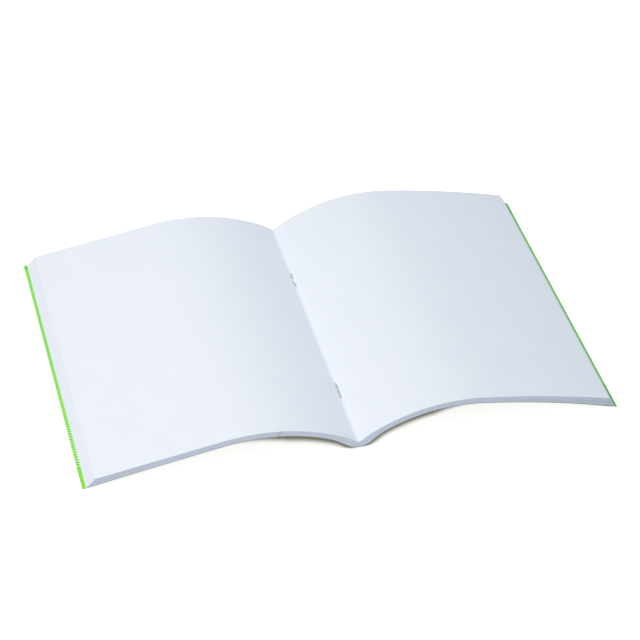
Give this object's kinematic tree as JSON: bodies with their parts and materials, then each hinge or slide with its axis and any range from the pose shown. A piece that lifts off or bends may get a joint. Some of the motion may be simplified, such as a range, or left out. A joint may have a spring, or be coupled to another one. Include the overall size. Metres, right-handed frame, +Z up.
{
  "type": "open stapled exercise book",
  "caption": "Stapled exercise book lying open at its centre, blank bowed page blocks in a thin green card cover that hinges at the fold.",
  "frame": {"origin": "on the table under the middle of the open book, midway between the two fore edges and midway between tail and head", "axes": "+X across the spread towards the right fore edge (back cover), +Y along the fold towards the head of the pages, +Z up from the table"},
  "size_m": [0.3274, 0.205, 0.0256],
  "materials": {
    "leaves": "uncoated matt writing paper",
    "cover_card": "thin card, printed green, slight sheen",
    "staple_wire": "galvanised round wire"
  },
  "bodies": {
    "right_half": {"right_leaves": "leaves", "back_cover": "cover_card", "head_staple": "staple_wire", "tail_staple": "staple_wire"},
    "left_half": {"left_leaves": "leaves", "front_cover": "cover_card"}
  },
  "joints": [
    {"name": "cover_fold", "type": "hinge", "parent": "right_half", "child": "left_half", "pos_m": [0.00076, 0, 0.0041], "axis": [0, 1, 0], "range_deg": [0, 105]}
  ]
}
